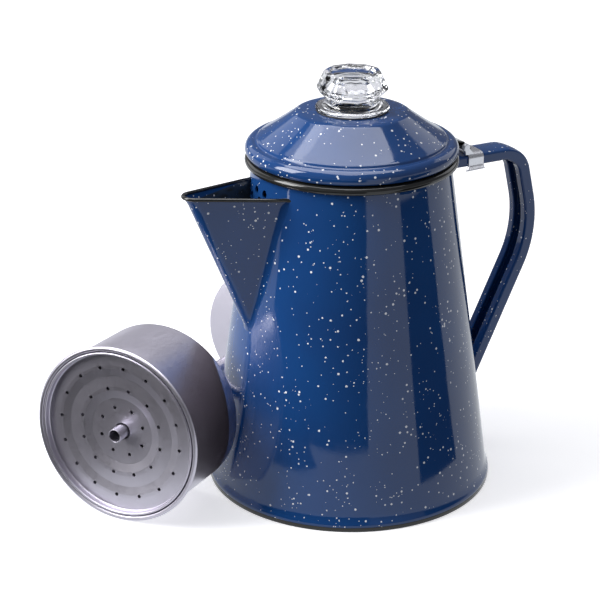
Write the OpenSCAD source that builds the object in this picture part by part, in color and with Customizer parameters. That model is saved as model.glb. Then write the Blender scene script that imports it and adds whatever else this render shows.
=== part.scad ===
// Enamelled camping coffee percolator, with its basket and stem lying beside the pot.
// Origin: the middle of the pot's base, on the floor. +Z is up, the handle is towards +X
// and the spout towards -X. All sizes are in millimetres.

/* [Pot] */
// Outside radius of the seam ring that the pot stands on
base_r = 75; // [74.8:0.1:75.4]
// Height of the seam ring
seam_h = 4.2; // [3.6:0.1:5]
// Outside radius that the wall's cone would have on the floor
wall_foot_r = 74.4; // [74.2:0.1:74.5]
// Radius that the wall loses for each millimetre of height
wall_taper = 0.1368; // [0.135:0.0005:0.139]
// Thickness of the enamelled sheet
sheet = 0.9; // [0.8:0.05:1]
// Outside radius of the straight neck under the mouth bead
neck_r = 51; // [50.8:0.1:51.2]
// Height of the middle of the mouth bead
bead_z = 174.4; // [174:0.1:174.6]
// Radius of the mouth bead's roll
bead_roll = 2.1; // [1.8:0.1:2.1]

/* [Spout] */
// How far the spout's tip reaches from the pot's axis
spout_reach = 95; // [92:0.5:98]
// Height of the spout's tip
spout_tip_z = 170.4; // [168:0.2:171]
// Height of the spout's open edge where it meets the wall
spout_back_z = 166.6; // [165:0.2:167]
// Height where the fold runs out on the wall
spout_low_z = 94; // [90:0.5:98]
// Half of the angle between the spout's two panels
spout_half_angle = 20; // [18:0.5:22]
// Outside radius of the fold
spout_fold_r = 5.5; // [5:0.1:6]
// Radius of a strainer hole behind the spout
strainer_hole_r = 2; // [1.6:0.1:2.2]

/* [Handle] */
// Width of the handle strip
handle_w = 16; // [15:0.2:16.4]
// Depth of the curled strip where it leaves the pot
handle_root_d = 5.4; // [5:0.1:5.6]
// Depth of the curled strip in the grip
handle_grip_d = 6.2; // [5.8:0.1:6.6]
// Gap between the strip's two curled lips
handle_gap = 6; // [4:0.2:8]

/* [Hinge] */
// Distance from the pot's axis to the hinge pin
hinge_x = 65.2; // [65:0.1:65.4]
// Height of the hinge pin
hinge_z = 171.4; // [171.2:0.1:171.6]
// Radius of the hinge pin
pin_r = 1.2; // [1.1:0.05:1.3]
// Length of the lid's knuckle
knuckle_l = 12; // [11:0.2:12]
// Thickness of the clip's stainless band
clip_t = 0.8; // [0.7:0.05:0.9]

/* [Lid] */
// Radius of the roll around the lid's edge
lid_roll = 4.15; // [4.1:0.05:4.2]
// Height of the lid's flat top at the knob
lid_top_z = 199.9; // [199.6:0.1:200.2]
// Outside radius of the skirt that drops into the mouth
skirt_r = 49.2; // [48.8:0.1:49.4]

/* [Knob] */
// Number of facets around the glass knob
knob_facets = 10; // [8:1:12]
// Radius of the knob's flange
knob_flange_r = 18.6; // [18:0.1:19]
// Radius of the knob's widest corners
knob_r = 18.3; // [17.8:0.1:18.6]
// Radius of the corners of the knob's top
knob_top_r = 14.6; // [14:0.1:14.8]
// Height of the knob's top
knob_top_z = 219.8; // [219:0.2:221]

/* [Basket and stem] */
// Outside radius of the basket's rim
basket_rim_r = 46.9; // [46.5:0.1:47]
// Outside radius of the basket's wall under its rim
basket_r = 45; // [44.6:0.1:45.2]
// Length of the basket
basket_l = 47; // [45:0.5:49]
// Distance from the foot's floor to the basket's rim
rim_s = 166; // [165:0.5:167]
// Radius of the foot
foot_r = 39.5; // [39:0.5:40.5]
// Outside radius of the stem tube
stem_r = 3.6; // [3.4:0.1:3.7]
// How far the stem stands out of the basket's rim
stem_out = 1.4; // [1:0.1:2.5]
// Direction in which the stem lies, from the foot's side round to the rim
lying_turn = 212.8; // [212.6:0.1:214]

/* [Hidden] */
$fn = 96;

enamel_blue = "#1f3f8f";
enamel_black = "#15161a";
bare_aluminium = "#b4b0bf";

seam_floor = 0.9;
wall_top_z = 174.6;
neck_z = (wall_foot_r - neck_r) / wall_taper;
bead_r = neck_r - sheet + bead_roll + 0.1;

spout_low_x = -(wall_foot_r - wall_taper * spout_low_z) - 0.4;
spout_lean = atan((spout_reach + spout_low_x) / (spout_tip_z - spout_low_z));
spout_rise = atan((spout_tip_z - spout_back_z) / (spout_reach - neck_r));
rim_h = 2.2;
rim_wrap = 0.7;
strainer_rows = [[164.4, [-4.7, 4.7]], [159.9, [-10.9, 0, 10.9]], [155.4, [-5.5, 5.5]],
                 [150.9, [0]]];
strainer_turn = 177.4;

lid_roll_c = [50, 180.3];
lid_groove = [47.1, 186.3];
lid_hole_r = 13;
seal_h = 0.6;
knob_gap = 0.1;
knob_z = lid_top_z + seal_h + knob_gap;
knob_neck_r = 12.6;
lug_r = 14.6;
lug_angle = 40;
knob_turn_phase = 32.5;

clip_x0 = 66.3;
clip_x1 = 75.6;
clip_top_z = 167.8;
clip_low_z = 160.6;
ear_w = 1.8;
ear_gap = 0.3;

lying_tilt = asin((basket_rim_r - foot_r) / rim_s);
floor_gap = 0.03;
lying_foot = [6.8, 98.3, foot_r * cos(lying_tilt) + floor_gap];
foil = 0.8;
basket_floor_s = rim_s - basket_l;
cover_recess = 3.7;
// rings of holes in the cover, the basket's floor and the foot: [radius, count, first angle]
cover_rings = [[34.9, 16, 86.2], [23.4, 12, 78.6], [12.8, 8, 109.1]];
cover_hole_r = 0.95;
floor_rings = [[36, 20, 0], [27, 16, 6], [18, 10, 0]];
floor_hole_r = 1.1;
foot_rings = [[19, 6, 0]];
foot_hole_r = 2;

function wall_r(z) = wall_foot_r - wall_taper * z;
function arc(c, r, a0, a1, n) =
    [for (i = [0:n]) let (a = a0 + (a1 - a0) * i / n) c + r * [cos(a), sin(a)]];
function bezier(a, b, c, d, n) =
    [for (i = [0:n]) let (t = i / n, s = 1 - t)
        s * s * s * a + 3 * s * s * t * b + 3 * s * t * t * c + t * t * t * d];
function unit(v) = v / norm(v);
function left_of(v) = [-v[1], v[0]];
function run_at(p, i) = unit(p[min(i + 1, len(p) - 1)] - p[max(i - 1, 0)]);
function beside(p, t) = [for (i = [0:len(p) - 1]) p[i] + t * left_of(run_at(p, i))];
function turned_back(p) = [for (i = [len(p) - 1:-1:0]) p[i]];
// a sheet of thickness t to the left of an outline
function sheet_outline(p, t) = concat(p, turned_back(beside(p, t)));
// the outline a-b-c with its corner at b rounded to radius r
function corner(a, b, c, r, n) =
    let (u = unit(a - b), v = unit(c - b), half = acos(u * v) / 2,
         o = b + unit(u + v) * r / sin(half), p = b + u * r / tan(half), q = b + v * r / tan(half),
         a0 = atan2(p[1] - o[1], p[0] - o[0]), turn = atan2(q[1] - o[1], q[0] - o[0]) - a0,
         a1 = a0 + (turn > 180 ? turn - 360 : turn < -180 ? turn + 360 : turn))
    arc(o, r, a0, a1, n);

// ---------- pot ----------

module pot_profile(outer_only = false) {
    polygon([[outer_only ? 0 : wall_r(seam_floor) - sheet, seam_floor],
             [wall_r(seam_floor), seam_floor], [neck_r, neck_z], [neck_r, wall_top_z],
             [outer_only ? 0 : neck_r - sheet, wall_top_z],
             [outer_only ? 0 : neck_r - sheet, outer_only ? wall_top_z : neck_z]]);
}

// everything inside the pot's outer surface
module pot_body() {
    rotate_extrude() pot_profile(outer_only = true);
}

module pot_wall() {
    color(enamel_blue) difference() {
        rotate_extrude() pot_profile();
        for (row = strainer_rows, a = row[1])
            rotate([0, 0, strainer_turn + a]) translate([neck_r - 6, 0, row[0]]) rotate([0, 90, 0])
                cylinder(r = strainer_hole_r, h = 12);
    }
}

module pot_bottom() {
    pan_r = wall_r(seam_floor) - sheet;
    color(enamel_blue) rotate_extrude()
        polygon([[0, seam_floor + 0.6], [pan_r - 3, seam_floor + 0.6], [pan_r - 1.6, seam_floor],
                 [pan_r, seam_floor], [pan_r - wall_taper * (seam_h - 0.4), seam_h + 0.5],
                 [pan_r - sheet - 0.5, seam_h + 0.5], [pan_r - sheet - 0.4, seam_floor + sheet + 0.3],
                 [pan_r - 3, seam_floor + 0.6 + sheet], [0, seam_floor + 0.6 + sheet]]);
}

module base_seam() {
    round_r = 1;
    inner_r = wall_r(seam_floor) - sheet - 2;
    color(enamel_black) rotate_extrude() difference() {
        union() {
            translate([inner_r, 0]) square([base_r - round_r - inner_r, seam_floor]);
            translate([wall_r(seam_h), 0]) square([base_r - round_r - wall_r(seam_h), seam_h]);
            translate([base_r - round_r - 0.01, round_r]) square([round_r + 0.01, seam_h - 2 * round_r]);
            for (z = [round_r, seam_h - round_r]) translate([base_r - round_r, z]) circle(r = round_r);
        }
        polygon([[inner_r - 1, seam_floor], [wall_r(seam_floor), seam_floor],
                 [wall_r(seam_h + 1), seam_h + 1], [inner_r - 1, seam_h + 1]]);
    }
}

module mouth_bead() {
    color(enamel_black) rotate_extrude() difference() {
        translate([bead_r, bead_z]) circle(r = bead_roll);
        translate([neck_r - sheet - 2, bead_z - 5]) square([sheet + 2, wall_top_z - bead_z + 5]);
    }
}

// ---------- spout ----------

// the folded V seen along its fold, with a rounded nose of radius r
module vee(r) {
    far = 75;
    run = far * [cos(spout_half_angle), sin(spout_half_angle)];
    nose = arc([0, 0], r, 90 + spout_half_angle, 270 - spout_half_angle, 12);
    polygon(concat([nose[0] + run], nose, [nose[12] + [run[0], -run[1]]]));
}

module along_fold(r_out, r_in) {
    translate([spout_low_x, 0, spout_low_z]) rotate([0, -spout_lean, 0]) translate([spout_fold_r, 0, -25])
        linear_extrude(height = 125) difference() {
            vee(r_out);
            vee(r_in);
        }
}

// everything higher than the open edge, lowered by drop
module above_edge(drop) {
    translate([-neck_r, 0, spout_back_z - drop]) rotate([0, spout_rise, 0]) translate([-80, -60, 0])
        cube([150, 120, 60]);
}

module spout() {
    color(enamel_blue) difference() {
        along_fold(spout_fold_r, spout_fold_r - sheet);
        above_edge(0.8);
        pot_body();
    }
}

module spout_rim() {
    color(enamel_black) difference() {
        intersection() {
            along_fold(spout_fold_r + rim_wrap, spout_fold_r - sheet - rim_wrap);
            above_edge(rim_h);
        }
        above_edge(0);
        difference() {
            along_fold(spout_fold_r, spout_fold_r - sheet);
            above_edge(0.8);
        }
        pot_body();
    }
}

// ---------- handle ----------

// the strip's outer corners, from the root under the mouth down to the lower end
handle_root = [47, 166.3];
handle_bend = [103.6, 165.5];
handle_bend_r = 31.5;
handle_knee = [114.8, 117.4];
handle_knee_r = 60;
handle_end = [67, 21];
handle_line = concat([handle_root, [60, 166.1], [72, 165.9]],
    corner([77, 165.8], handle_bend, handle_knee, handle_bend_r, 14),
    corner(handle_bend, handle_knee, handle_end, handle_knee_r, 10),
    [for (t = [0.5, 1]) handle_knee + t * (handle_end - handle_knee)]);
handle_crown = 1;
handle_curl = 1.6;
function handle_d(i) = i < 4 ? handle_root_d : handle_grip_d;

// one half of the C section as [across, inwards], from the lip's edge to the crown
function half_section(d, off) =
    concat([[handle_gap / 2, d - off]],
        arc([handle_w / 2 - handle_curl, d - handle_curl], handle_curl - off, 90, 0, 3),
        arc([handle_w / 2 - handle_curl, handle_curl * 0.6], handle_curl - off, 0, -90, 3),
        [[handle_w / 4, -handle_crown * 0.72 + off]]);
function mirrored(p) = [for (v = turned_back(p)) [-v[0], v[1]]];
function section(d) =
    let (outer = half_section(d, 0), inner = half_section(d, sheet))
    concat(outer, [[0, -handle_crown]], mirrored(outer), turned_back(mirrored(inner)),
        [[0, -handle_crown + sheet]], turned_back(inner));

// a closed band swept through rings, where point j of its outside faces point n - 1 - j of its inside
module sweep(rings) {
    n = len(rings[0]);
    last = len(rings) - 1;
    polyhedron(points = [for (ring = rings, p = ring) p],
        faces = concat(
            [for (j = [0:n / 2 - 2]) [j, j + 1, n - 2 - j, n - 1 - j]],
            [for (i = [0:last - 1], j = [0:n - 1])
                [i * n + j, (i + 1) * n + j, (i + 1) * n + (j + 1) % n]],
            [for (i = [0:last - 1], j = [0:n - 1])
                [i * n + j, (i + 1) * n + (j + 1) % n, i * n + (j + 1) % n]],
            [for (j = [0:n / 2 - 2], o = [last * n]) [o + n - 1 - j, o + n - 2 - j, o + j + 1, o + j]]));
}

module handle() {
    color(enamel_blue) difference() {
        sweep([for (i = [0:len(handle_line) - 1])
            let (in_dir = -left_of(run_at(handle_line, i)))
            [for (p = section(handle_d(i)))
                [handle_line[i][0] + p[1] * in_dir[0], p[0], handle_line[i][1] + p[1] * in_dir[1]]]]);
        pot_body();
    }
}

// ---------- hinge ----------

module at_pin() {
    translate([hinge_x, 0, hinge_z]) rotate([90, 0, 0]) children();
}

// a stainless band around the handle's root, with two ears curled round the pin's ends
module hinge_clip() {
    half_in = handle_w / 2 + 0.1;
    half_out = half_in + clip_t;
    ear_y = knuckle_l / 2 + ear_gap;
    ear_r = pin_r + clip_t;
    lip_run = 2.6;
    lip_drop = 1.6;
    color("silver") difference() {
        union() {
            translate([clip_x0, -half_out, clip_top_z - clip_t]) cube([clip_x1 - clip_x0, 2 * half_out, clip_t]);
            for (side = [-1, 1]) {
                translate([clip_x0, side > 0 ? half_in : -half_out, clip_low_z])
                    cube([clip_x1 - clip_x0, clip_t, clip_top_z - clip_low_z]);
                // the lower edge, bent outwards into a small lip
                translate([clip_x0 - 1.5, side * half_out, clip_low_z]) rotate([90, 0, 90])
                    linear_extrude(height = clip_x1 - clip_x0 + 0.5)
                        polygon([[0, 0.6], [-side * clip_t, 0.6], [-side * clip_t, -0.2],
                                 [side * (lip_run - 1), -lip_drop], [side * (lip_run - 1), -lip_drop + clip_t]]);
                // the ear: a loop on the pin and the strap that carries it
                translate([0, side > 0 ? ear_y + ear_w : -ear_y, 0]) {
                    at_pin() cylinder(r = ear_r, h = ear_w);
                    rotate([90, 0, 0]) linear_extrude(height = ear_w)
                        polygon([[hinge_x + 0.3, hinge_z - ear_r], [hinge_x + ear_r, hinge_z],
                                 [clip_x0 + 2.6, clip_top_z - 0.2], [clip_x0, clip_top_z - 0.2]]);
                }
            }
        }
        translate([0, half_out, 0]) at_pin() cylinder(r = pin_r, h = 2 * half_out);
    }
}

module hinge_pin() {
    head = 0.5;
    half_l = knuckle_l / 2 + ear_gap + ear_w;
    color("silver") {
        translate([0, half_l + head, 0]) at_pin() cylinder(r = pin_r, h = 2 * (half_l + head));
        for (y = [half_l + head, -half_l]) translate([0, y, 0]) at_pin() cylinder(r = pin_r + 0.4, h = head);
    }
}

// ---------- lid ----------

lid_line = concat(
    arc(lid_roll_c, lid_roll, -46, 101, 14),
    [[48.4, 184.6], [47.8, 185.3], lid_groove],
    bezier(lid_groove, [42.4, 189.1], [34.8, 194.6], [29.9, 198.2], 8),
    bezier([29.2, 198.7], [28.4, 199.25], [27, lid_top_z - 0.3], [25.2, lid_top_z - 0.2], 4),
    [[knob_flange_r, lid_top_z], [lid_hole_r, lid_top_z]]);

module bayonet_lugs(r, grow, z, h) {
    for (a = [0, 180]) rotate([0, 0, a - lug_angle / 2 - grow]) translate([0, 0, z])
        rotate_extrude(angle = lug_angle + 2 * grow) translate([knob_neck_r - 3, 0])
            square([r - knob_neck_r + 3, h]);
}

module lid_shell() {
    color(enamel_blue) difference() {
        rotate_extrude() polygon(sheet_outline(lid_line, sheet));
        rotate([0, 0, 90]) bayonet_lugs(lug_r + 0.4, 3, lid_top_z - 4, 8);
    }
}

module lid_skirt() {
    top_r = skirt_r - 1.2;
    color(enamel_black) rotate_extrude()
        polygon([[skirt_r - sheet, 167.5], [skirt_r - 0.3, 167.5], [skirt_r, 168.2], [skirt_r, 181.6],
                 [top_r + 0.3, 183.6], [top_r - 1.6, 184.45], [top_r - 1.9, 183.2], [skirt_r - sheet, 181.2]]);
}

// the strap from the lid's edge to the hinge, curled into a knuckle round the pin
module lid_tab() {
    strap = 0.8;
    curl_r = 2.2;
    top = [hinge_x, hinge_z + curl_r - strap / 2];
    line = [top, [hinge_x - 2.2, hinge_z + curl_r - 0.1], [57, 176.2], [54.8, 177.4], [54.45, 181]];
    color(enamel_black) difference() {
        union() {
            translate([0, knuckle_l / 2, 0]) at_pin() cylinder(r = curl_r, h = knuckle_l);
            translate([0, knuckle_l / 2, 0]) rotate([90, 0, 0]) linear_extrude(height = knuckle_l)
                polygon(concat(beside(line, strap / 2), turned_back(beside(line, -strap / 2))));
        }
        translate([0, knuckle_l, 0]) at_pin() cylinder(r = pin_r + 0.1, h = 2 * knuckle_l);
        rotate_extrude() translate(lid_roll_c) circle(r = lid_roll);
    }
}

// ---------- knob ----------

module knob_seal() {
    color(enamel_black) translate([0, 0, lid_top_z]) difference() {
        cylinder(r = knob_flange_r - 0.3, h = seal_h);
        translate([0, 0, -1]) cylinder(r = lug_r + 0.5, h = 3);
    }
}

module facet_band(z0, z1, r0, r1) {
    translate([0, 0, z0]) cylinder(r1 = r0, r2 = r1, h = z1 - z0, $fn = knob_facets);
}

// hollow pressed glass: a round flange and neck under a faceted crown
module knob() {
    neck_top = knob_z + 5;
    waist = 211;
    inner_r = 10.4;
    color("white", 0.4) difference() {
        union() {
            rotate_extrude()
                polygon(concat([[0, knob_z - 3], [knob_neck_r, knob_z - 3], [knob_neck_r, knob_z]],
                    arc([knob_flange_r - 1, knob_z + 1], 1, -90, 90, 6),
                    arc([16.4, knob_z + 4.2], 2.7, -100, -180, 6),
                    [[13.7, neck_top + 1.4], [0, neck_top + 1.4]]));
            rotate([0, 0, knob_turn_phase]) {
                facet_band(neck_top + 0.6, waist, 13.5, knob_r);
                facet_band(waist, waist + 1, knob_r, knob_r);
                facet_band(waist + 1, knob_top_z, knob_r, knob_top_r);
            }
            bayonet_lugs(lug_r, 0, lid_top_z - sheet - 2.1, 1.8);
        }
        translate([0, 0, knob_z - 5]) cylinder(r = inner_r, h = 14);
        translate([0, 0, knob_z + 9]) cylinder(r1 = inner_r, r2 = 7, h = 5);
        translate([0, 0, knob_top_z - 1.6]) cylinder(r1 = 9.6, r2 = 11.2, h = 2);
    }
}

// ---------- basket and stem, lying on their side ----------

// children are drawn upright, with the foot's floor at z = 0
module lying() {
    translate(lying_foot) rotate([0, 90 - lying_tilt, lying_turn]) children();
}

module hole_rings(rings, r, z) {
    for (ring = rings, i = [0:ring[1] - 1])
        rotate([0, 0, ring[2] + 360 * i / ring[1]]) translate([ring[0], 0, z - 5])
            cylinder(r = r, h = 10, $fn = 24);
}

module stem_tube() {
    color(bare_aluminium) lying() difference() {
        translate([0, 0, 5]) cylinder(r = stem_r, h = rim_s + stem_out - 5);
        cylinder(r = stem_r - 0.5, h = rim_s + 20);
    }
}

foot_edge = 0.5;
foot_line = concat(arc([foot_r - foot_edge, foot_edge], foot_edge, -90, 70, 5),
    bezier([foot_r - 2.6, 1.2], [30, 2.9], [16, 4], [stem_r + 2.2, 6.4], 8),
    [[stem_r + foil, 7.4], [stem_r + foil, 9]]);

module stem_foot() {
    color(bare_aluminium) lying() difference() {
        rotate_extrude() polygon(sheet_outline(foot_line, foil));
        hole_rings(foot_rings, foot_hole_r, 4);
    }
}

module stem_collar() {
    color(bare_aluminium) lying() rotate_extrude()
        polygon([[stem_r, 9], [stem_r + 1.3, 9], [stem_r + 1.3, 12], [stem_r, 13.2]]);
}

module basket_stop() {
    stop_r = stem_r + 2.2;
    color(bare_aluminium) lying() rotate_extrude()
        polygon([[stem_r, basket_floor_s - 3.4], [stop_r, basket_floor_s - 2],
                 [stop_r, basket_floor_s - 0.1], [stem_r, basket_floor_s - 0.1]]);
}

sleeve_r = stem_r + 0.4;

module basket_cup() {
    bead = 1;
    draft = 0.6;
    turn_r = 2;
    bead_c = [basket_rim_r - bead, rim_s - bead];
    out_line = concat([[sleeve_r + foil, basket_floor_s]],
        arc([basket_r - draft - turn_r, basket_floor_s + turn_r], turn_r, -90, 0, 6),
        [[basket_r, rim_s - 2 * bead - 0.4], [basket_r, rim_s - bead]]);
    color(bare_aluminium) lying() difference() {
        rotate_extrude() {
            polygon(sheet_outline(out_line, foil));
            translate(bead_c) circle(r = bead);
        }
        hole_rings(floor_rings, floor_hole_r, basket_floor_s);
    }
}

module basket_sleeve() {
    sleeve_l = 32;
    color(bare_aluminium) lying() difference() {
        union() {
            translate([0, 0, basket_floor_s]) cylinder(r = sleeve_r + foil, h = sleeve_l);
            translate([0, 0, basket_floor_s + foil]) cylinder(r = sleeve_r + foil + 1.6, h = foil);
        }
        translate([0, 0, basket_floor_s - 1]) cylinder(r = sleeve_r, h = sleeve_l + 2);
    }
}

// a stepped, perforated plate with a wall and a bead that sit inside the basket's rim
module spreader_cover() {
    wall_in = 42.5;
    wall_out = wall_in + foil;
    bead = 0.7;
    plate_s = rim_s - cover_recess;
    hub_r = 4.45;
    plate_line = [[hub_r, plate_s - 2.6], [16, plate_s - 2.2], [17.5, plate_s - 2.1], [22.6, plate_s - 1.1],
                  [24, plate_s - 1], [28.6, plate_s - 1], [30, plate_s - 0.9], [34.4, plate_s - 0.1],
                  [36, plate_s], [wall_in, plate_s]];
    color(bare_aluminium) lying() difference() {
        rotate_extrude()
            polygon(concat(plate_line, arc([wall_in + bead, rim_s - bead], bead, 180, -50, 12),
                [[wall_out, rim_s - 2.6 * bead], [wall_out, plate_s - foil]],
                turned_back([for (p = plate_line) p - [0, foil]])));
        hole_rings(cover_rings, cover_hole_r, plate_s);
    }
}

pot_wall();
pot_bottom();
base_seam();
mouth_bead();
spout();
spout_rim();
handle();
hinge_clip();
hinge_pin();
lid_shell();
lid_skirt();
lid_tab();
knob_seal();
knob();
stem_tube();
stem_foot();
stem_collar();
basket_stop();
basket_cup();
basket_sleeve();
spreader_cover();
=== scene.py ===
"""Looks for an enamelled camping coffee percolator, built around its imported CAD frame."""
import math

import bmesh
import bpy
from mathutils import Matrix, Vector


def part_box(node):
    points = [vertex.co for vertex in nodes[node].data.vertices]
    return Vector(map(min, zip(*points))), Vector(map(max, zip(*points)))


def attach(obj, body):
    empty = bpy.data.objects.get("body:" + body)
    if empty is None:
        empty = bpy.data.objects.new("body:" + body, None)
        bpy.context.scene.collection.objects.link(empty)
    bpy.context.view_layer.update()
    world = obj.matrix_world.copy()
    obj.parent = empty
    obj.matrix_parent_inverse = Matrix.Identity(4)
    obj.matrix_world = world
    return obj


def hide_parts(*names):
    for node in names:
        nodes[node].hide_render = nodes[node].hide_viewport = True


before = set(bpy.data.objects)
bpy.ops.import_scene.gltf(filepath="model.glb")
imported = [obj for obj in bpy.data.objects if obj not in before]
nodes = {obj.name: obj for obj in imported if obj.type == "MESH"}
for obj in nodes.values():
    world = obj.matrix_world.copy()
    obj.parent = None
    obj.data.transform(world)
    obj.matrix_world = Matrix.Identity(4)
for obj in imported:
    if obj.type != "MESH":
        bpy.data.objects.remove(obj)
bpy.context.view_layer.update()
MM = 0.001


# ---------- camera, stage and lights ----------

def make_camera():
    data = bpy.data.cameras.new("camera")
    data.lens = 118.8
    data.clip_start = 0.05
    camera = bpy.data.objects.new("camera", data)
    camera.location = (-0.5007, -0.8148, 0.4900)
    camera.rotation_euler = (math.radians(67.62), 0, math.radians(-30))
    bpy.context.scene.collection.objects.link(camera)
    bpy.context.scene.camera = camera


def plain_material(name, color, strength=0.0):
    mat = bpy.data.materials.new(name)
    mat.use_nodes = True
    shader = mat.node_tree.nodes["Principled BSDF"]
    shader.inputs["Base Color"].default_value = (*color, 1)
    shader.inputs["Roughness"].default_value = 0.9
    shader.inputs["Emission Color"].default_value = (*color, 1)
    shader.inputs["Emission Strength"].default_value = strength
    return mat


def stage_panel(name, size, location, facing, mat):
    """A flat panel of the studio, its normal towards facing."""
    mesh = bpy.data.meshes.new(name)
    w, h = size[0] / 2, size[1] / 2
    mesh.from_pydata([(-w, -h, 0), (w, -h, 0), (w, h, 0), (-w, h, 0)], [], [(0, 1, 2, 3)])
    mesh.materials.append(mat)
    panel = bpy.data.objects.new(name, mesh)
    panel.location = location
    panel.rotation_mode = "QUATERNION"
    panel.rotation_quaternion = Vector(facing).to_track_quat("Z", "Y")
    bpy.context.scene.collection.objects.link(panel)
    return panel


# how bright the floor is to the object's diffuse surfaces and to its mirror-like ones
FLOOR_LIT = 0.38
FLOOR_MIRRORED = 0.92
# the camera's right and the way towards it, level with the floor
RIGHT = Vector((0.866, -0.5, 0))
NEAR = Vector((-0.524, -0.852, 0))


def reflection_only(obj):
    """Only mirror-like surfaces see it, so it shapes reflections and casts no light or shadow."""
    obj.visible_camera = False
    obj.visible_diffuse = False
    obj.visible_shadow = False
    obj.visible_transmission = False


def arc_flag(name, from_azimuth, to_azimuth, distance, low, high, mat):
    """A dark flag bent round the pot's axis, from height low to high."""
    steps = 16
    turns = [math.radians(from_azimuth + (to_azimuth - from_azimuth) * i / steps)
             for i in range(steps + 1)]
    points = [(distance * math.cos(a), distance * math.sin(a), z) for a in turns for z in (low, high)]
    faces = [(2 * i, 2 * i + 2, 2 * i + 3, 2 * i + 1) for i in range(steps)]
    mesh = bpy.data.meshes.new(name)
    mesh.from_pydata(points, [], faces)
    mesh.materials.append(mat)
    flag = bpy.data.objects.new(name, mesh)
    bpy.context.scene.collection.objects.link(flag)
    reflection_only(flag)


def studio_place(right, near, height):
    return RIGHT * right + NEAR * near + Vector((0, 0, height))


def softbox(name, place, width, length, radiance, color=(1, 1, 1)):
    data = bpy.data.lights.new(name, "AREA")
    data.shape = "RECTANGLE"
    data.size = width
    data.size_y = length
    data.energy = radiance * math.pi * width * length
    data.color = color
    lamp = bpy.data.objects.new(name, data)
    lamp.location = place
    lamp.rotation_mode = "QUATERNION"
    lamp.rotation_quaternion = (place - Vector((0, 0, 0.1))).to_track_quat("Z", "Y")
    bpy.context.scene.collection.objects.link(lamp)


def ray_level(tree, seen, lit, mirrored, through):
    """One strength for each kind of ray: camera, diffuse, mirror reflection, through glass."""
    path = tree.nodes.new("ShaderNodeLightPath").outputs

    def math_node(operation, a, b):
        node = tree.nodes.new("ShaderNodeMath")
        node.operation = operation
        node.use_clamp = operation == "SUBTRACT"
        for i, value in enumerate((a, b)):
            if isinstance(value, bpy.types.NodeSocket):
                tree.links.new(value, node.inputs[i])
            else:
                node.inputs[i].default_value = value
        return node.outputs[0]

    mirror = math_node("SUBTRACT", path["Is Glossy Ray"], path["Is Transmission Ray"])
    total = math_node("MULTIPLY", path["Is Camera Ray"], seen)
    levels = ((path["Is Diffuse Ray"], lit), (mirror, mirrored), (path["Is Transmission Ray"], through))
    for kind, level in levels:
        total = math_node("ADD", total, math_node("MULTIPLY", kind, level))
    return total


def floor_material():
    """White paper; what it sends back to the object is set apart from how it looks."""
    mat = plain_material("floor", (0.88, 0.88, 0.89), strength=0.6)
    tree = mat.node_tree
    glow = tree.nodes.new("ShaderNodeEmission")
    glow.inputs["Color"].default_value = (0.93, 0.96, 1, 1)
    tree.links.new(ray_level(tree, 0, FLOOR_LIT, FLOOR_MIRRORED, 0.8), glow.inputs["Strength"])
    either = tree.nodes.new("ShaderNodeMixShader")
    tree.links.new(tree.nodes.new("ShaderNodeLightPath").outputs["Is Camera Ray"], either.inputs["Fac"])
    tree.links.new(glow.outputs[0], either.inputs[1])
    tree.links.new(tree.nodes["Principled BSDF"].outputs[0], either.inputs[2])
    tree.links.new(either.outputs[0], tree.nodes["Material Output"].inputs["Surface"])
    return mat


def one_sided_material(name, color):
    """Dark on the side that faces away from the pot, and clear on the other; it makes the sheet of painted
    shade between the basket and the pot.
    """
    mat = plain_material(name, color)
    tree = mat.node_tree
    either = tree.nodes.new("ShaderNodeMixShader")
    tree.links.new(tree.nodes.new("ShaderNodeNewGeometry").outputs["Backfacing"], either.inputs["Fac"])
    tree.links.new(tree.nodes["Principled BSDF"].outputs[0], either.inputs[1])
    tree.links.new(tree.nodes.new("ShaderNodeBsdfTransparent").outputs[0], either.inputs[2])
    tree.links.new(either.outputs[0], tree.nodes["Material Output"].inputs["Surface"])
    return mat


def make_studio():
    stage_panel("floor", (8, 8), (0, 0, 0), (0, 0, 1), floor_material())
    black = plain_material("flag", (0.006, 0.006, 0.008))
    arc_flag("flag_front", 167, 253, 0.28, 0.0005, 0.16, black)
    arc_flag("flag_right", 282, 313, 0.12, 0.008, 0.16, black)
    # Painted shade: a dark sheet close round the pot, seen only in reflections, stands in for the shade
    # between the lying basket and the pot.
    painted_gap_shade = one_sided_material("painted_shade_gap_flag", (0.03, 0.02, 0.032))
    arc_flag("painted_shade_gap_flag", 165, 250, 0.0775, 0.0005, 0.095, painted_gap_shade)
    reflection_only(stage_panel("flag_floor", (0.11, 0.26), (-0.235, -0.003, 0.0006), (0, 0, 1), black))
    top = studio_place(-0.1, -0.1, 1.28)
    glow = plain_material("top_card", (0.97, 0.97, 1), strength=4.2)
    reflection_only(stage_panel("top_card", (1.1, 1.3), top, top, glow))
    softbox("top", studio_place(-0.3, -0.1, 1.3), 0.9, 1.1, 1.6)
    softbox("key", studio_place(-0.95, 0.25, 0.65), 0.5, 0.8, 11.0)
    softbox("back_left", studio_place(-0.9, -0.95, 0.8), 0.8, 0.8, 0.9)
    softbox("back_right", studio_place(0.95, -0.95, 0.8), 0.8, 0.8, 1.0, (0.97, 0.98, 1))
    world = bpy.data.worlds.new("studio")
    bpy.context.scene.world = world
    world.use_nodes = True
    back = world.node_tree.nodes["Background"]
    back.inputs["Color"].default_value = (0.92, 0.93, 1, 1)
    world.node_tree.links.new(ray_level(world.node_tree, 0.9, 0.3, 0.24, 0.85), back.inputs["Strength"])
    bpy.context.scene.view_settings.view_transform = "Standard"


# ---------- materials ----------

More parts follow.
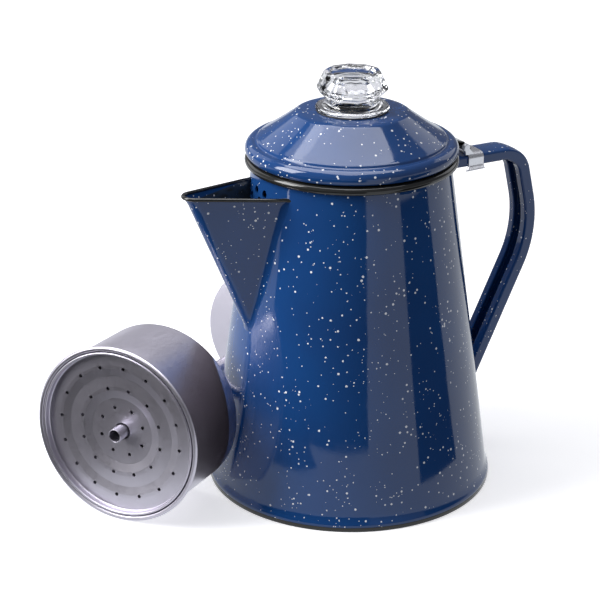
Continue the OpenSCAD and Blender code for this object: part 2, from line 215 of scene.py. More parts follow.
class Graph:
    """A material's node tree, with the shader ready and short ways to add nodes."""

    def __init__(self, name):
        self.mat = bpy.data.materials.new(name)
        self.mat.use_nodes = True
        self.tree = self.mat.node_tree
        self.shader = self.tree.nodes["Principled BSDF"]

    def add(self, kind, **values):
        node = self.tree.nodes.new(kind)
        for key, value in values.items():
            setattr(node, key, value)
        return node

    def feed(self, node, name, value):
        if isinstance(value, bpy.types.NodeSocket):
            self.tree.links.new(value, node.inputs[name])
        else:
            node.inputs[name].default_value = value

    def place(self):
        return self.add("ShaderNodeTexCoord").outputs["Object"]

    def math(self, operation, a, b):
        node = self.add("ShaderNodeMath", operation=operation)
        self.feed(node, 0, a)
        self.feed(node, 1, b)
        return node.outputs[0]

    def noise(self, scale, detail=2.0, roughness=0.5, place=None):
        node = self.add("ShaderNodeTexNoise")
        self.feed(node, "Vector", place or self.place())
        self.feed(node, "Scale", scale)
        self.feed(node, "Detail", detail)
        self.feed(node, "Roughness", roughness)
        return node.outputs["Fac"]

    def span(self, value, a0, a1, b0, b1, smooth=False):
        """value, stretched from a0..a1 to b0..b1 and kept inside it."""
        node = self.add("ShaderNodeMapRange")
        if smooth:
            node.interpolation_type = "SMOOTHSTEP"
        self.feed(node, 0, value)
        for i, x in enumerate((a0, a1, b0, b1)):
            self.feed(node, i + 1, x)
        return node.outputs[0]

    def mix(self, share, a, b):
        node = self.add("ShaderNodeMix", data_type="RGBA")
        for name, value in (("Factor", share), ("A", a), ("B", b)):
            if isinstance(value, tuple):
                value = (*value, 1)
            socket = [s for s in node.inputs if s.name == name and (name == "Factor") == (s.type == "VALUE")
                      and (name == "Factor" or s.type == "RGBA")][0]
            if isinstance(value, bpy.types.NodeSocket):
                self.tree.links.new(value, socket)
            else:
                socket.default_value = value
        return [s for s in node.outputs if s.type == "RGBA"][0]

    def bump(self, height, distance, strength=1.0):
        node = self.add("ShaderNodeBump")
        self.feed(node, "Height", height)
        self.feed(node, "Distance", distance)
        self.feed(node, "Strength", strength)
        return node.outputs["Normal"]

    def set(self, **values):
        for key, value in values.items():
            name = key.replace("_", " ")
            if isinstance(value, tuple):
                value = (*value, 1)
            self.feed(self.shader, name, value)
        return self


def speck_layer(g, cell_mm, radius_mm, share, seed):
    """White drops of enamel: 1 in a drop, 0 outside. share is how many of the cells hold one."""
    shifted = g.add("ShaderNodeVectorMath", operation="ADD")
    g.feed(shifted, 0, g.place())
    shifted.inputs[1].default_value = (seed, seed * 0.7, -seed)
    cells = g.add("ShaderNodeTexVoronoi")
    g.feed(cells, "Vector", shifted.outputs[0])
    g.feed(cells, "Scale", 1 / (cell_mm * MM))
    chance = g.add("ShaderNodeSeparateColor")
    g.feed(chance, "Color", cells.outputs["Color"])
    crowd = g.span(g.noise(55, 1.0, place=shifted.outputs[0]), 0.38, 0.66, 0.25, 1.9)
    present = g.math("LESS_THAN", chance.outputs["Red"], g.math("MULTIPLY", crowd, share))
    size = g.span(chance.outputs["Green"], 0, 1, 0.45, 1)
    edge = g.math("MULTIPLY", size, radius_mm / cell_mm)
    inner = g.math("MULTIPLY", edge, 0.8)
    drop = g.span(cells.outputs["Distance"], inner, edge, 1.0, 0.0, smooth=True)
    return g.math("MULTIPLY", drop, present)


def enamel(name, color, deep, speckled):
    """Glossy vitreous enamel, a little wavy, with or without white specks."""
    g = Graph(name)
    drift = g.noise(18, 3.0)
    base = g.mix(g.span(drift, 0.35, 0.65, 0, 1), color, deep)
    height = g.math("ADD", g.noise(32, 1.0), g.math("MULTIPLY", g.noise(420, 2.0), 0.03))
    if speckled:
        specks = g.math("MAXIMUM", speck_layer(g, 3.2, 0.72, 0.5, 0.31),
                        speck_layer(g, 2.2, 0.42, 0.4, 0.87))
        base = g.mix(specks, base, (0.94, 0.96, 1.0))
        height = g.math("ADD", height, g.math("MULTIPLY", specks, 0.05))
    g.set(Base_Color=base, Roughness=g.span(g.noise(160), 0.3, 0.7, 0.05, 0.11), IOR=1.52,
          Normal=g.bump(height, 0.0006, 0.35))
    return g.mat


def satin_metal(name, color, dark, roughness, grain=1.0):
    """Metal with a fine grain and a slight change of tone."""
    g = Graph(name)
    tone = g.span(g.noise(35, 3.0), 0.35, 0.65, 0, 1)
    g.set(Base_Color=g.mix(tone, color, dark), Metallic=1.0,
          Roughness=g.span(g.noise(900, 2.0), 0.3, 0.7, roughness - 0.04, roughness + 0.05),
          Normal=g.bump(g.noise(2600, 2.0), 0.00006 * grain, 0.5))
    return g.mat


def clear_glass(name):
    g = Graph(name)
    g.set(Base_Color=g.mix(g.noise(60, 1.0), (0.985, 0.988, 0.99), (0.96, 0.965, 0.975)),
          Roughness=g.span(g.noise(300), 0.3, 0.7, 0.0, 0.03), IOR=1.5, Transmission_Weight=1.0,
          Normal=g.bump(g.noise(130, 1.0), 0.0004, 0.25))
    return g.mat


def soft_rubber(name):
    g = Graph(name)
    g.set(Base_Color=g.mix(g.noise(90), (0.03, 0.03, 0.032), (0.05, 0.05, 0.052)),
          Roughness=g.span(g.noise(700), 0.3, 0.7, 0.5, 0.65), Normal=g.bump(g.noise(1800), 0.00004, 0.4))
    return g.mat


BLUE = enamel("speckled_blue_enamel", (0.0105, 0.066, 0.235), (0.0115, 0.056, 0.2), True)
BLACK = enamel("black_enamel", (0.016, 0.017, 0.017), (0.024, 0.024, 0.022), False)
STEEL = satin_metal("stainless_steel", (0.72, 0.73, 0.77), (0.66, 0.67, 0.71), 0.3, 0.2)
ALUMINIUM = satin_metal("satin_aluminium", (0.67, 0.645, 0.73), (0.61, 0.585, 0.665), 0.40)
GLASS = clear_glass("clear_glass")
RUBBER = soft_rubber("seal_rubber")
# Painted shade: the spout's inside is the same blue speckled enamel, painted a dark slate for the shade that
# falls inside the fold.
PAINTED_SHADE_INSIDE = enamel("painted_shade_enamel", (0.036, 0.05, 0.064), (0.04, 0.048, 0.052), True)


# ---------- outlines, in millimetres ----------

def arc(x, y, r, a0, a1, n=8):
    turn = [math.radians(a0 + (a1 - a0) * i / n) for i in range(n + 1)]
    return [Vector((x + r * math.cos(a), y + r * math.sin(a))) for a in turn]


def bezier(a, b, c, d, n=10):
    a, b, c, d = (Vector(p) for p in (a, b, c, d))
    steps = [i / n for i in range(n + 1)]
    return [(1 - t) ** 3 * a + 3 * (1 - t) ** 2 * t * b + 3 * (1 - t) * t * t * c + t ** 3 * d
            for t in steps]


def corner(a, b, c, r, n=4):
    """The corner at b between a and c, rounded to radius r."""
    u, v = (a - b).normalized(), (c - b).normalized()
    half = math.acos(max(-1, min(1, u.dot(v)))) / 2
    if half > math.radians(89):
        return [b]
    cut = min(r / math.tan(half), 0.47 * (a - b).length, 0.47 * (c - b).length)
    middle = b + (u + v).normalized() * cut / math.cos(half)
    start, end = b + u * cut - middle, b + v * cut - middle
    turn = math.atan2(start.x * end.y - start.y * end.x, start.dot(end))
    return [middle + Matrix.Rotation(turn * k / n, 2) @ start for k in range(n + 1)]


def softened(points, radius, closed=True, n=4):
    """The outline with its corners rounded; radius is one number or one for each point."""
    points = [Vector(p) for p in points]
    out = []
    for i, b in enumerate(points):
        r = radius[i] if isinstance(radius, (list, tuple)) else radius
        end = not closed and i in (0, len(points) - 1)
        out += [b] if end or r <= 0 else corner(points[i - 1], b, points[(i + 1) % len(points)], r, n)
    return out


def run_at(line, i):
    return (line[min(i + 1, len(line) - 1)] - line[max(i - 1, 0)]).normalized()


def beside(line, t):
    """line moved by t to its left."""
    return [p + t * Vector((-run_at(line, i).y, run_at(line, i).x)) for i, p in enumerate(line)]


def round_end(a, b, along, n=3):
    middle, half = (a + b) / 2, (a - b) / 2
    turns = [math.pi * k / (2 * n) for k in range(1, 2 * n)]
    return [middle + half * math.cos(x) + along * half.length * math.sin(x) for x in turns]


def sheet(line, t):
    """The closed outline of a sheet, t thick to the left of line, with rounded edges."""
    line = [Vector(p) for p in line]
    other = beside(line, t)
    first, last = run_at(line, 0), run_at(line, len(line) - 1)
    for side in (line, other):
        side[0] = side[0] + first * abs(t) / 2
        side[-1] = side[-1] - last * abs(t) / 2
    return line + round_end(line[-1], other[-1], last) + other[::-1] + round_end(other[0], line[0], -first)


# ---------- meshes ----------

def piece(name, points, faces, mats, body, slot, stands_for=(), place=None, sharp=None, face_mats=None):
    """A piece from points in millimetres, riding on body and standing for CAD nodes."""
    mesh = bpy.data.meshes.new(name)
    mesh.from_pydata([Vector(p) * MM for p in points], [], faces)
    if face_mats:
        mesh.polygons.foreach_set("material_index", face_mats)
    if place:
        mesh.transform(place)
    bm = bmesh.new()
    bm.from_mesh(mesh)
    bmesh.ops.remove_doubles(bm, verts=bm.verts, dist=1e-7)
    bmesh.ops.dissolve_degenerate(bm, dist=1e-8, edges=bm.edges)
    bmesh.ops.recalc_face_normals(bm, faces=bm.faces)
    for face in bm.faces:
        face.smooth = True
    bm.to_mesh(mesh)
    bm.free()
    for mat in mats:
        mesh.materials.append(mat)
    if sharp:
        mesh.set_sharp_from_angle(angle=math.radians(sharp))
    obj = bpy.data.objects.new(name, mesh)
    bpy.context.scene.collection.objects.link(obj)
    even_normals(obj)
    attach(obj, body)
    if stands_for:
        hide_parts(*stands_for)
    return obj


def even_normals(obj):
    even = obj.modifiers.new("even_normals", "WEIGHTED_NORMAL")
    even.keep_sharp = True


def turned(outline, n):
    """Points and faces of a closed outline (radius, height) turned round the axis."""
    points, rings, faces = [], [], []
    for p in outline:
        if p[0] < 1e-6:
            rings.append([len(points)] * n)
            points.append((0, 0, p[1]))
            continue
        rings.append(list(range(len(points), len(points) + n)))
        points += [(p[0] * math.cos(a), p[0] * math.sin(a), p[1]) for a in
                   (2 * math.pi * k / n for k in range(n))]
    for i, ring in enumerate(rings):
        after = rings[(i + 1) % len(rings)]
        for k in range(n):
            face = dict.fromkeys((ring[k], ring[(k + 1) % n], after[(k + 1) % n], after[k]))
            if len(face) > 2:
                faces.append(list(face))
    return points, faces


def lathe(name, outline, mats, body, slot, stands_for=(), n=180, **more):
    points, faces = turned(outline, n)
    return piece(name, points, faces, mats, body, slot, stands_for, **more)


def swept(rings):
    """Points and faces of a closed tube through rings with equally many points."""
    n, last = len(rings[0]), len(rings) - 1
    faces = [(i * n + k, i * n + (k + 1) % n, (i + 1) * n + (k + 1) % n, (i + 1) * n + k)
             for i in range(last) for k in range(n)]
    half = n // 2
    for o in (0, last * n):
        faces += [(o + k, o + k + 1, o + (n - 2 - k) % n, o + n - 1 - k) for k in range(half - 1)]
    return [p for ring in rings for p in ring], faces


def bevelled(obj, width, angle):
    """Rounds the sharp edges of a piece by width millimetres."""
    obj.modifiers.remove(obj.modifiers["even_normals"])
    edge = obj.modifiers.new("edges", "BEVEL")
    edge.width = width * MM
    edge.segments = 2
    edge.limit_method = "ANGLE"
    edge.angle_limit = math.radians(angle)
    even_normals(obj)


def cut_away(obj, tool):
    """Cuts the mesh tool out of a piece, once and for all."""
    cutter = bpy.data.objects.new("cutter", tool)
    bpy.context.scene.collection.objects.link(cutter)
    obj.modifiers.clear()
    cut = obj.modifiers.new("cut", "BOOLEAN")
    cut.operation = "DIFFERENCE"
    cut.solver = "EXACT"
    cut.object = cutter
    bpy.context.view_layer.update()
    made = bpy.data.meshes.new_from_object(obj.evaluated_get(bpy.context.evaluated_depsgraph_get()))
    obj.modifiers.clear()
    obj.data = made
    bpy.data.objects.remove(cutter)
    made.set_sharp_from_angle(angle=math.radians(40))
    even_normals(obj)


def drill(obj, radius, length, places):
    """Drills straight holes along the z axis of each place, given in metres."""
    bm = bmesh.new()
    for place in places:
        bmesh.ops.create_cone(bm, cap_ends=True, segments=28, radius1=radius * MM, radius2=radius * MM,
                              depth=length * MM, matrix=place)
    tool = bpy.data.meshes.new("drill")
    bm.to_mesh(tool)
    bm.free()
    cut_away(obj, tool)


def moved(x, y, z):
    return Matrix.Translation(Vector((x, y, z)) * MM)


def spun(degrees, axis="Z"):
    return Matrix.Rotation(math.radians(degrees), 4, axis)


# ---------- pot ----------

SHEET = 0.9
FOIL = 0.8
SEAM_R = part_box("base_seam")[1].x / MM
SEAM_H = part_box("base_seam")[1].z / MM
WALL_FOOT_R = 74.4
TAPER = 0.1368
WALL_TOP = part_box("pot_wall")[1].z / MM
NECK_R = 51.0
STRAINER_ROWS = ((164.4, (-4.7, 4.7)), (159.9, (-10.9, 0, 10.9)), (155.4, (-5.5, 5.5)), (150.9, (0,)))
STRAINER_TURN = 177.4
STRAINER_R = 2.0


def wall_r(z):
    return max(NECK_R, WALL_FOOT_R - TAPER * z)


def make_wall():
    """The tapered wall; its foot flares out and its enamel laps over the seam ring."""
    lap = 2.3
    rim = Vector((SEAM_R - 0.04, lap + 0.9))
    foot = [Vector((SEAM_R - 0.25, lap)), Vector((SEAM_R - 0.07, lap + 0.2)), rim]
    foot += bezier(rim, (SEAM_R - 0.2, SEAM_H + 0.4), (wall_r(5) + 0.2, 5), (wall_r(9), 9))[1:]
    rise = [Vector((wall_r(z), z)) for z in (30, 60, 90, 120, 150, 168)]
    neck = bezier((wall_r(170), 170), (wall_r(170.8), 170.8), (NECK_R, 171.2), (NECK_R, 172.5), 5)
    inner = [Vector((NECK_R - SHEET, WALL_TOP)), Vector((NECK_R - SHEET, 171)),
             Vector((wall_r(90) - SHEET, 90)), Vector((wall_r(1) - SHEET, 1)), Vector((wall_r(1), 1)),
             Vector((wall_r(1), lap))]
    outline = foot + rise + neck + [Vector((NECK_R, WALL_TOP))] + inner
    wall = lathe("pot_wall_enamel", outline, [BLUE], "pot", "enamel_blue", ["pot_wall"], n=256)
    outwards = moved(NECK_R, 0, 0) @ spun(90, "Y")
    drill(wall, STRAINER_R, 12, [spun(STRAINER_TURN + angle) @ moved(0, 0, z) @ outwards
                                 for z, angles in STRAINER_ROWS for angle in angles])


def make_seam():
    inner = SEAM_R - 4.6
    outline = softened([(inner, 0), (SEAM_R - 0.1, 0), (SEAM_R, 1), (SEAM_R, 2.4), (SEAM_R - 0.8, 2.9),
                        (WALL_FOOT_R, 2.8), (WALL_FOOT_R - 1.2, SHEET), (inner, SHEET)],
                       [0.3, 0.8, 0.8, 0.4, 0.3, 0.2, 0.2, 0.3])
    lathe("base_seam_enamel", outline, [BLACK], "pot", "enamel_black", ["base_seam"], n=256)


def make_bead():
    lo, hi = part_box("mouth_bead")
    roll = (hi.z - lo.z) / MM / 2
    outline = arc(hi.x / MM - roll, (hi.z + lo.z) / MM / 2, roll, -140, 190, 28)
    lathe("mouth_bead_enamel", outline, [BLACK], "pot", "enamel_black", ["mouth_bead"], n=256)


# ---------- spout ----------

SPOUT_LOW_Z = 94
SPOUT_LOW = Vector((-wall_r(SPOUT_LOW_Z) - 0.4, SPOUT_LOW_Z))
SPOUT_TIP = Vector((-95, 170.4))
SPOUT_BACK_Z = 166.6
SPOUT_HALF = 20
FOLD_R = 5.5
SPOUT_FILLET = 2.2
SPOUT_FLARE = 0.8
SPOUT_LIP = 4.5
SPOUT_ALONG = (SPOUT_TIP - SPOUT_LOW).normalized()
SPOUT_ACROSS = Vector((SPOUT_ALONG.y, -SPOUT_ALONG.x))
SPOUT_RISE = (SPOUT_TIP.y - SPOUT_BACK_Z) / (-SPOUT_TIP.x - NECK_R)


def spout_point(p, s):
    """The point at distance s along the fold from p, a point of the folded section."""
    q = SPOUT_LOW + SPOUT_ACROSS * (FOLD_R + p.x) + SPOUT_ALONG * s
    return Vector((q.x, p.y, q.y))


def off_wall(q):
    return math.hypot(q.x, q.y) - wall_r(q.z)


def solve(test, lo, hi):
    """Where test turns from true to false between lo and hi."""
    for _ in range(40):
        middle = (lo + hi) / 2
        if test(middle):
            lo = middle
        else:
            hi = middle
    return lo


def spout_ends(p):
    top = solve(lambda s: spout_point(p, s).z < SPOUT_BACK_Z - SPOUT_RISE * (spout_point(p, s).x + NECK_R),
                -40, 120)
    low = solve(lambda s: off_wall(spout_point(p, s)) < -0.7, -60, top)
    return low, top


def spout_section(r, n=30):
    """Half of the folded section with its outward directions, from the wall's end to the nose."""
    turn = Matrix.Rotation(math.radians(SPOUT_HALF), 2)
    def leg(reach):
        return turn @ Vector((reach, r))
    reach = solve(lambda x: spout_ends(leg(x))[1] - spout_ends(leg(x))[0] > 0.6, 5, 60)
    points = [(leg(reach * (1 - k / n)), turn @ Vector((0, 1))) for k in range(n)]
    nose = arc(0, 0, r, 90 + SPOUT_HALF, 180, 10)
    return points + [(p, p.normalized()) for p in nose]


def spout_face(r, fillet, rows=30):
    """Columns of points over one face of the spout, from one end of the V round the nose to the other."""
    half = spout_section(r)
    mirrored = [(Vector((p.x, -p.y)), Vector((d.x, -d.y))) for p, d in half[:-1][::-1]]
    columns = []
    for p, out in half + mirrored:
        low, top = spout_ends(p)
        outward = Vector((SPOUT_ACROSS.x * out.x, out.y, SPOUT_ACROSS.y * out.x))
        column = []
        for k in range(rows + 1):
            s = low + (top - low) * (k / rows) ** 1.9
            q = spout_point(p, s)
            up = Vector((q.x, q.y, 0)).normalized()
            beside_wall = (outward - outward.dot(up) * up).normalized()
            gap = max(0, off_wall(q))
            if fillet and gap < fillet:
                q += beside_wall * (fillet - math.sqrt(fillet ** 2 - (fillet - gap) ** 2))
            lip = max(0, 1 - (top - s) / SPOUT_LIP)
            column.append(q + outward * SPOUT_FLARE * lip ** 2 * min(1, gap / 3))
        columns.append(column)
    return columns


def make_spout():
    outer = spout_face(FOLD_R, SPOUT_FILLET)
    inner = spout_face(FOLD_R - SHEET, 0)
    n, rows = len(outer), len(outer[0])
    points = [q for face in (outer, inner) for column in face for q in column]

    def at(side, i, k):
        return (side * n + i) * rows + k

    faces = [(at(side, i, k), at(side, i + 1, k), at(side, i + 1, k + 1), at(side, i, k + 1))
             for side in (0, 1) for i in range(n - 1) for k in range(rows - 1)]
    faces += [(at(0, i, k), at(0, i + 1, k), at(1, i + 1, k), at(1, i, k))
              for i in range(n - 1) for k in (0, rows - 1)]
    faces += [(at(0, i, k), at(0, i, k + 1), at(1, i, k + 1), at(1, i, k))
              for i in (0, n - 1) for k in range(rows - 1)]

    one_side = (n - 1) * (rows - 1)
    # Painted shade: the inner faces take the dark painted-shade enamel, all but the top row by the lip,
    # which keeps the plain blue.
    painted_shade_rows = [1] * (rows - 2) + [0]
    face_mats = [0] * one_side + painted_shade_rows * (n - 1) + [0] * (len(faces) - 2 * one_side)
    piece("spout_enamel", points, faces, [BLUE, PAINTED_SHADE_INSIDE], "pot", "enamel_blue", ["spout"], sharp=60,
          face_mats=face_mats)
    path = [(a[-1] + b[-1]) / 2 for a, b in zip(outer, inner)]
    first, last = path[0] - path[1], path[-1] - path[-2]
    path = [path[0] + first.normalized()] + path + [path[-1] + last.normalized()]
    rings = []
    for i, q in enumerate(path):
        run = (path[min(i + 1, len(path) - 1)] - path[max(i - 1, 0)]).normalized()
        side = run.cross(Vector((0, 0, 1))).normalized()
        up = side.cross(run)
        rings.append([q + 1.05 * side * math.cos(a) + (0.95 * math.sin(a) - 0.5) * up for a in
                      (2 * math.pi * k / 16 for k in range(16))])
    points, faces = swept(rings)
    piece("spout_rim_enamel", points, faces, [BLACK], "pot", "enamel_black", ["spout_rim"])


# ---------- handle and hinge ----------

HANDLE_W = 16
HANDLE_CURL = 1.4
HANDLE_GAP = 6
HANDLE_CROWN = 1
HANDLE_ROOT_D = 5.4
HANDLE_GRIP_D = 6.2
HANDLE_ROOT = Vector((47, 166.3))
HANDLE_ARM = [Vector((60, 166.1)), Vector((72, 165.9))]
HANDLE_SHOULDER = Vector((77, 165.8))
HANDLE_BEND = Vector((103.6, 165.5))
HANDLE_BEND_R = 31.5
HANDLE_KNEE = Vector((114.8, 117.4))
HANDLE_KNEE_R = 60
HANDLE_END = Vector((67, 21))


def handle_section(d):
    """The C of the rolled strip as (across, inwards), d deep."""
    side = HANDLE_W / 2 - HANDLE_CURL
    half = [Vector((HANDLE_GAP / 2, d - 0.1)), Vector((HANDLE_GAP / 2 + 0.8, d))]
    half += arc(side, d - HANDLE_CURL, HANDLE_CURL, 90, 0, 7)
    half += arc(side, HANDLE_CURL * 0.6, HANDLE_CURL, 0, -82, 7)
    half += [Vector((side * (1 - t), -HANDLE_CROWN + (HANDLE_CROWN - 0.68) * (1 - t) ** 2))
             for t in (0.25, 0.5, 0.75)]
    line = half + [Vector((0, -HANDLE_CROWN))] + [Vector((-p.x, p.y)) for p in half[::-1]]
    return sheet(line, -SHEET)


def make_handle():
    """The strip swept from its root under the mouth, round the grip and back to the wall."""
    line = [HANDLE_ROOT] + HANDLE_ARM
    line += corner(HANDLE_SHOULDER, HANDLE_BEND, HANDLE_KNEE, HANDLE_BEND_R, 28)
    line += corner(HANDLE_BEND, HANDLE_KNEE, HANDLE_END, HANDLE_KNEE_R, 20)
    line += [HANDLE_KNEE.lerp(HANDLE_END, t) for t in (0.35, 0.6, 0.85, 1)]
    rings = []
    for i, p in enumerate(line):
        run = run_at(line, i)
        inwards = Vector((run.y, -run.x))
        depth = HANDLE_ROOT_D + (HANDLE_GRIP_D - HANDLE_ROOT_D) * min(1, max(0, (i - 3) / 8))
        rings.append([Vector((p.x + b * inwards.x, a, p.y + b * inwards.y))
                      for a, b in handle_section(depth)])
    for ring, run in ((rings[0], line[0] - line[1]), (rings[-1], line[-1] - line[-2])):
        way = Vector((run.x, 0, run.y)).normalized()
        for k, q in enumerate(ring):
            start = q - way * 30
            ring[k] = start + way * solve(lambda s, start=start: off_wall(start + way * s) > -0.3, 0, 60)
    points, faces = swept(rings)
    piece("handle_enamel", points, faces, [BLUE], "pot", "enamel_blue", ["handle"], sharp=70)


def make_clip():
    """The stainless band: over the handle's root, down both sides and out into two small lips."""
    top, x0, x1 = 167.8, 66.3, 75.6
    band, half, low = 0.8, 8.1, 160.9
    side = softened([(half + 2.4, low - 1.9), (half + 0.9, low - 0.9), (half, low), (half, top - band),
                     (0, top - band + 0.25)], [0, 0.8, 1.2, 2.3, 0], closed=False, n=6)
    line = side + [Vector((-p.x, p.y)) for p in side[:-1][::-1]]
    outline = sheet(line, -band)
    rings = []
    for x in (x0, x0 + 0.2, (x0 + x1) / 2, x1 - 0.2, x1):
        edge = x in (x0, x1)
        ring = []
        for a, b in outline:
            lip = max(0, low - b)
            shift = -1.5 * lip if x < (x0 + x1) / 2 else -0.35 * lip
            ring.append(Vector((x + shift, a, b + (-0.06 if edge and b > top - 0.3 else 0))))
        rings.append(ring)
    points, faces = swept(rings)
    clip = piece("hinge_clip_steel", points, faces, [STEEL], "pot", "stainless", ["hinge_clip"], sharp=50)
    bevelled(clip, 0.16, angle=50)
    make_ears(x0, top - band)


HINGE = Vector((65.2, 0, 171.4))


def make_ears(x0, low):
    """Two straps of the band, each curled round the pin."""
    r_out = 2.05
    loop = (arc(HINGE.x, HINGE.z, r_out, -20, 250, 26)
            + [Vector((HINGE.x - 0.5, low + 0.4)), Vector((x0 + 3.2, low + 0.1)),
               Vector((x0 + 3.4, low + 0.75))])
    for name, y in (("hinge_ear_near", -8.1), ("hinge_ear_far", 6.3)):
        points, faces = swept([[Vector((p.x, y + t, p.y)) for p in loop] for t in (0, 1.8)])
        ear = piece(name, points, faces, [STEEL], "pot", "stainless", sharp=40)
        bevelled(ear, 0.18, angle=35)


def make_tab():
    """The lid's strap, curled into a knuckle round the pin."""
    strap, curl = 0.8, 2.2
    inner = curl - strap
    wrap = arc(HINGE.x, HINGE.z, curl - strap / 2 + 0.01, 300, 95, 22)
    line = wrap + softened([(HINGE.x - 0.3, HINGE.z + inner + 0.42), (59.5, 175.2), (56.6, 176.9),
                            (54.75, 179.0), (54.45, 181)], [0, 2, 2, 1, 0], closed=False)[1:]
    outline = sheet(line, -strap)
    rings = [[Vector((p.x, y, p.y)) for p in outline] for y in (-6, -5.85, 5.85, 6)]
    points, faces = swept(rings)
    tab = piece("lid_tab_enamel", points, faces, [BLACK], "lid", "enamel_black", ["lid_tab"], sharp=50)
    bevelled(tab, 0.15, angle=50)


# ---------- lid and knob ----------

LID_TOP = 199.9
KNOB_FLANGE_R = 18.6
LID_HOLE_R = 13


def make_lid():
    line = arc(50, 180.3, 4.15, -46, 98, 26)
    line += softened([(49.2, 184.4), (48.45, 184.75), (48.0, 185.75), (47.3, 186.3), (46.8, 186.55)],
                     [0, 0.7, 0.5, 0.4, 0], closed=False)
    line += bezier((46.6, 186.72), (42.2, 189.3), (34.8, 194.6), (29.9, 198.2), 16)
    line += bezier((29.2, 198.7), (28.4, 199.25), (27, LID_TOP - 0.3), (25.2, LID_TOP - 0.2), 8)
    line += [Vector((KNOB_FLANGE_R, LID_TOP)), Vector((LID_HOLE_R, LID_TOP))]
    lid = lathe("lid_shell_enamel", sheet(line, SHEET), [BLUE], "lid", "enamel_blue", ["lid_shell"], n=256)
    notches = bmesh.new()
    for a in (90, 270):
        ring = [(r * math.cos(math.radians(a + t)), r * math.sin(math.radians(a + t)))
                for r, ts in ((11, range(-23, 24, 2)), (15, range(23, -24, -2))) for t in ts]
        floor = [notches.verts.new(Vector((x, y, LID_TOP - 4)) * MM) for x, y in ring]
        face = notches.faces.new(floor)
        bmesh.ops.recalc_face_normals(notches, faces=notches.faces)
        risen = bmesh.ops.extrude_face_region(notches, geom=[face])
        bmesh.ops.translate(notches, vec=(0, 0, 8 * MM),
                            verts=[v for v in risen["geom"] if isinstance(v, bmesh.types.BMVert)])
    bmesh.ops.recalc_face_normals(notches, faces=notches.faces)
    tool = bpy.data.meshes.new("notches")
    notches.to_mesh(tool)
    notches.free()
    cut_away(lid, tool)


KNOB_FACETS = 10
KNOB_PHASE = 32.5
KNOB_Z = LID_TOP + 0.7
KNOB_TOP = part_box("knob")[1].z / MM


def facet_r(corner_r, angle):
    """Radius of the faceted crown at an angle; its corners are cut a little."""
    step = 2 * math.pi / KNOB_FACETS
    t = (angle - math.radians(KNOB_PHASE)) % step - step / 2
    return min(corner_r * math.cos(step / 2) / math.cos(t), corner_r * 0.988)


def make_knob():
    """Hollow pressed glass, as (radius, height, share): share is 1 on the facets and 0 where it is round."""
    neck = KNOB_Z + 6.2
    flange = ([(KNOB_FLANGE_R - 1, KNOB_Z, 0)]
              + [(p.x, p.y, 0) for p in arc(KNOB_FLANGE_R - 1, KNOB_Z + 1, 1, -80, 80, 8)]
              + [(KNOB_FLANGE_R - 1.2, KNOB_Z + 2.02, 0)])
    crown = [(13.7, neck - 0.2, 0), (13.9, neck + 0.2, 0.6), (14.6, neck + 0.7, 1), (18.1, 210.8, 1),
             (18.3, 211.1, 1), (18.3, 211.9, 1), (18.1, 212.3, 1), (14.8, KNOB_TOP - 0.4, 1),
             (14.4, KNOB_TOP - 0.08, 1), (13.8, KNOB_TOP, 0.9)]
    dish = [(12.0, KNOB_TOP, 0), (11.6, KNOB_TOP - 0.12, 0), (10.6, KNOB_TOP - 1.0, 0),
            (9.4, KNOB_TOP - 1.4, 0), (7, KNOB_TOP - 1.65, 0), (0, KNOB_TOP - 1.95, 0)]
    hollow = [(0, 215.0, 0), (4, 214.9, 0), (6.4, 214.4, 0), (7.6, 213.4, 0), (10.2, 210, 0),
              (10.4, 209.2, 0), (10.4, 203, 0), (10.4, 198, 0), (10.7, 197.65, 0)]
    below = [(12.3, 197.65, 0), (12.6, 198, 0), (12.6, KNOB_Z - 0.1, 0), (12.9, KNOB_Z, 0)]
    waist = [(p.x, p.y, 0) for p in arc(16.6, KNOB_Z + 4.6, 2.9, -112, -180, 8)]
    outline = hollow + below + flange + waist + crown + dish
    n = 12 * KNOB_FACETS
    points, faces = turned([(r, z) for r, z, _ in outline], n)
    at = 0
    for r, z, share in outline:
        if r < 1e-6:
            at += 1
            continue
        for k in range(n):
            a = 2 * math.pi * k / n + math.radians(KNOB_PHASE)
            radius = r + share * (facet_r(r, a) - r)
            points[at + k] = (radius * math.cos(a), radius * math.sin(a), z)
        at += n
    piece("knob_glass", points, faces, [GLASS], "knob", "clear_glass", ["knob"], sharp=12)
    make_lugs()


def make_lugs():
    """The two bayonet lugs under the lid."""
    for name, a in (("knob_lug_a", 0), ("knob_lug_b", 180)):
        rings = []
        for t in range(-20, 21, 4):
            x, y = math.cos(math.radians(a + t)), math.sin(math.radians(a + t))
            outline = softened([(12.3, 196.9), (14.6, 196.9), (14.6, 198.7), (12.3, 198.7)],
                               [0.1, 0.5, 0.5, 0.1], n=3)
            rings.append([Vector((r * x, r * y, z)) for r, z in outline])
        points, faces = swept(rings)
        piece(name, points, faces, [GLASS], "knob", "clear_glass", sharp=40)


# ---------- basket and stem, lying on their side ----------

RIM_S = 166.0
BASKET_L = 47.0
FOOT_R = 39.5
RIM_R = 46.9
BASKET_R = 45.0
STEM_R = 3.6
STEM_OUT = 1.4
FLOOR_S = RIM_S - BASKET_L
LYING_TILT = math.degrees(math.asin((RIM_R - FOOT_R) / RIM_S))
FLOOR_GAP = 0.03
LYING = (moved(6.8, 98.3, FOOT_R * math.cos(math.radians(LYING_TILT)) + FLOOR_GAP)
         @ spun(212.8) @ spun(90 - LYING_TILT, "Y"))
# rings of holes as (radius, count, first angle)
COVER_RINGS = ((34.9, 16, 86.2), (23.4, 12, 78.6), (12.8, 8, 109.1))
COVER_HOLE_R = 0.95
FLOOR_HOLE_R = 1.1
FOOT_HOLE_R = 2.0
FLOOR_RINGS = ((36, 20, 0), (27, 16, 6), (18, 10, 0))
FOOT_RINGS = ((19, 6, 0),)


def ring_places(rings, s):
    return [LYING @ spun(first + 360 * i / count) @ moved(r, 0, s)
            for r, count, first in rings for i in range(count)]


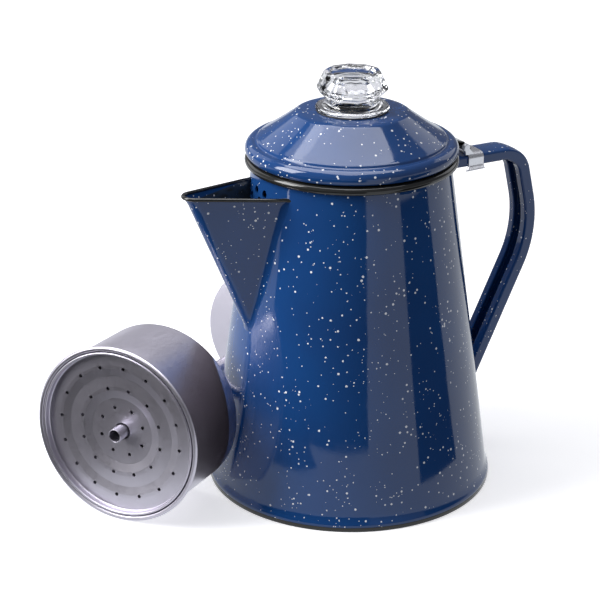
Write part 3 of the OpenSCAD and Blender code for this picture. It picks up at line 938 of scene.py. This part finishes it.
def make_basket():
    inner = BASKET_R - FOIL
    line_out = [Vector((5.0, FLOOR_S))] + arc(BASKET_R - 2.6, FLOOR_S + 2, 2, -90, 0, 8)
    line_out += [Vector((BASKET_R - 0.02, RIM_S - 2.4))]
    roll = 1.32
    bead = arc(RIM_R - roll, RIM_S - roll, roll, -75, 180, 18)
    line_in = [Vector((inner, RIM_S - 2.2))] + arc(BASKET_R - 2.6, FLOOR_S + 2.1, 2 - FOIL, 0, -90, 6)
    outline = line_out + bead + line_in + [Vector((5.0, FLOOR_S + FOIL))]
    cup = lathe("basket_cup_aluminium", outline, [ALUMINIUM], "basket", "aluminium", ["basket_cup"],
                n=200, place=LYING)
    drill(cup, FLOOR_HOLE_R, 8, ring_places(FLOOR_RINGS, FLOOR_S))


def make_cover():
    wall_in, bead = 42.5, 0.7
    plate = RIM_S - 3.7
    steps = softened([(4.45, plate - 2.6), (16, plate - 2.2), (17.8, plate - 2.1), (22.2, plate - 1.1),
                      (24.2, plate - 1), (28.4, plate - 1), (30, plate - 0.95), (34.2, plate - 0.1),
                      (36, plate), (wall_in - 0.3, plate), (wall_in, plate + 1.2)],
                     [0, 2, 3, 3, 2, 2, 3, 3, 2, 1, 0], closed=False, n=5)
    under = [p - Vector((0, FOIL)) for p in steps if p.x < wall_in - 1]
    outline = (steps + arc(wall_in + bead, RIM_S - bead, bead, 180, -60, 14)
               + softened([(wall_in + FOIL, RIM_S - 2), (wall_in + FOIL, plate - FOIL + 0.3),
                           (wall_in - 0.6, plate - FOIL)], 0.6, closed=False) + under[::-1])
    cover = lathe("spreader_cover_aluminium", outline, [ALUMINIUM], "cover", "aluminium", ["spreader_cover"],
                  n=200, place=LYING)
    drill(cover, COVER_HOLE_R, 10, ring_places(COVER_RINGS, plate))


def make_stem():
    low, top, bore = 5, RIM_S + STEM_OUT, STEM_R - 0.5
    tube = softened([(bore, low), (STEM_R, low), (STEM_R, top), (bore, top)], 0.22)
    lathe("stem_tube_aluminium", tube, [ALUMINIUM], "stem", "aluminium", ["stem_tube"], n=64, place=LYING)
    line = bezier((FOOT_R - 0.05, 0.86), (30, 2.9), (16, 4), (STEM_R + 2.2, 6.4), 14)
    line += [Vector((STEM_R + FOIL, 7.4)), Vector((STEM_R + FOIL, 9))]
    foot = lathe("stem_foot_aluminium", sheet(line, FOIL), [ALUMINIUM], "stem", "aluminium", ["stem_foot"],
                 n=180, place=LYING)
    drill(foot, FOOT_HOLE_R, 12, ring_places(FOOT_RINGS, 4))


make_camera()
make_studio()
make_wall()
make_seam()
make_bead()
make_spout()
make_handle()
make_clip()
make_tab()
make_lid()
make_knob()
make_basket()
make_cover()
make_stem()
for names, mat in ((("pot_bottom",), BLUE), (("lid_skirt",), BLACK), (("hinge_pin",), STEEL),
                   (("knob_seal",), RUBBER), (("stem_collar", "basket_stop", "basket_sleeve"), ALUMINIUM)):
    for name in names:
        nodes[name].data.materials.clear()
        nodes[name].data.materials.append(mat)
